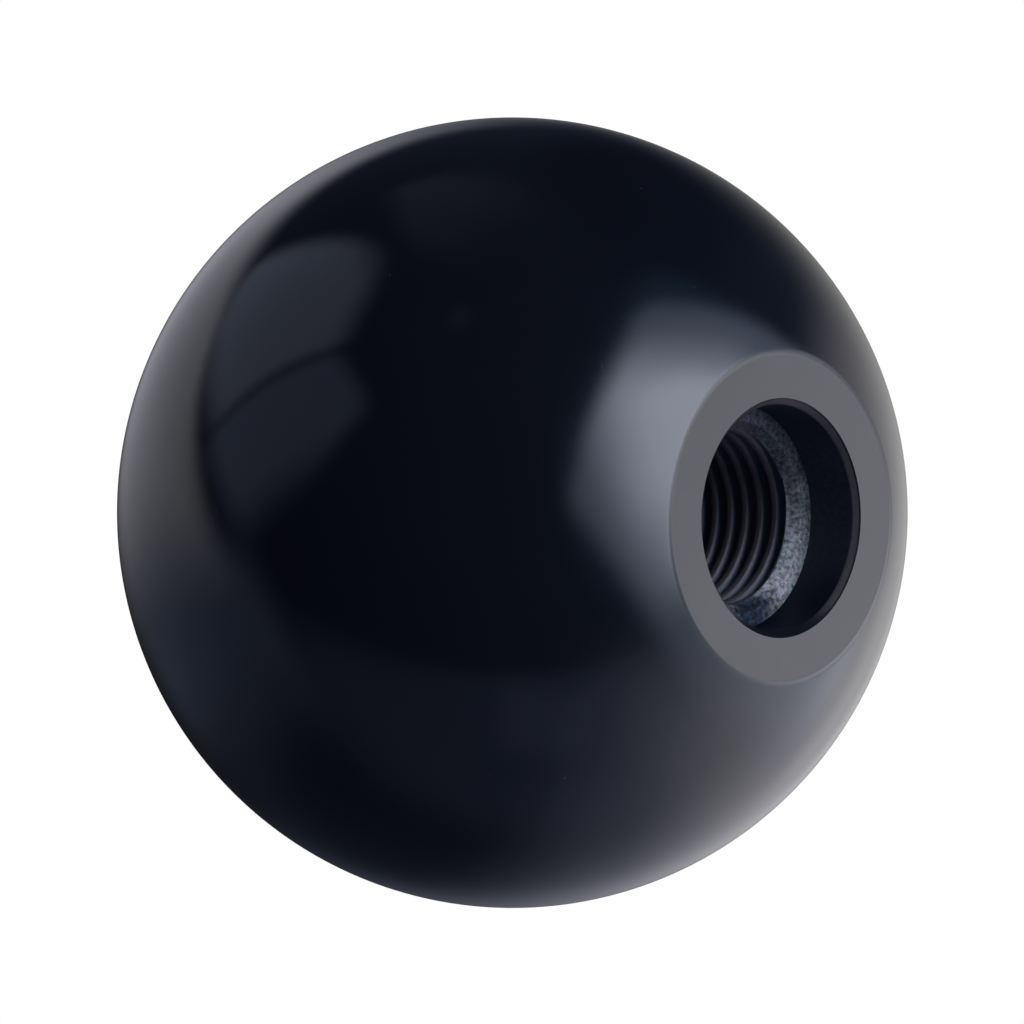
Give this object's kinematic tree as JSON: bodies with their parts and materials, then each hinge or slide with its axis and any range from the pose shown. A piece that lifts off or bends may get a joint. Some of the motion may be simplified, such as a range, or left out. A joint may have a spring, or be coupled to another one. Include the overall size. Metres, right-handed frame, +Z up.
{
  "type": "ball knob",
  "caption": "Round ball knob with a flat mounting face and a recessed, blind threaded steel bush moulded into it.",
  "frame": {"origin": "centre of the ball, on the thread's axis", "axes": "-Y out of the threaded mouth, square to the flat face; +Z up"},
  "size_m": [0.05, 0.0478, 0.05],
  "materials": {
    "moulding": "polished black thermoset, satin on the flat",
    "bush": "darkened turned steel"
  },
  "bodies": {
    "root": {"ball_body": "moulding", "threaded_insert": "bush"}
  },
  "joints": []
}
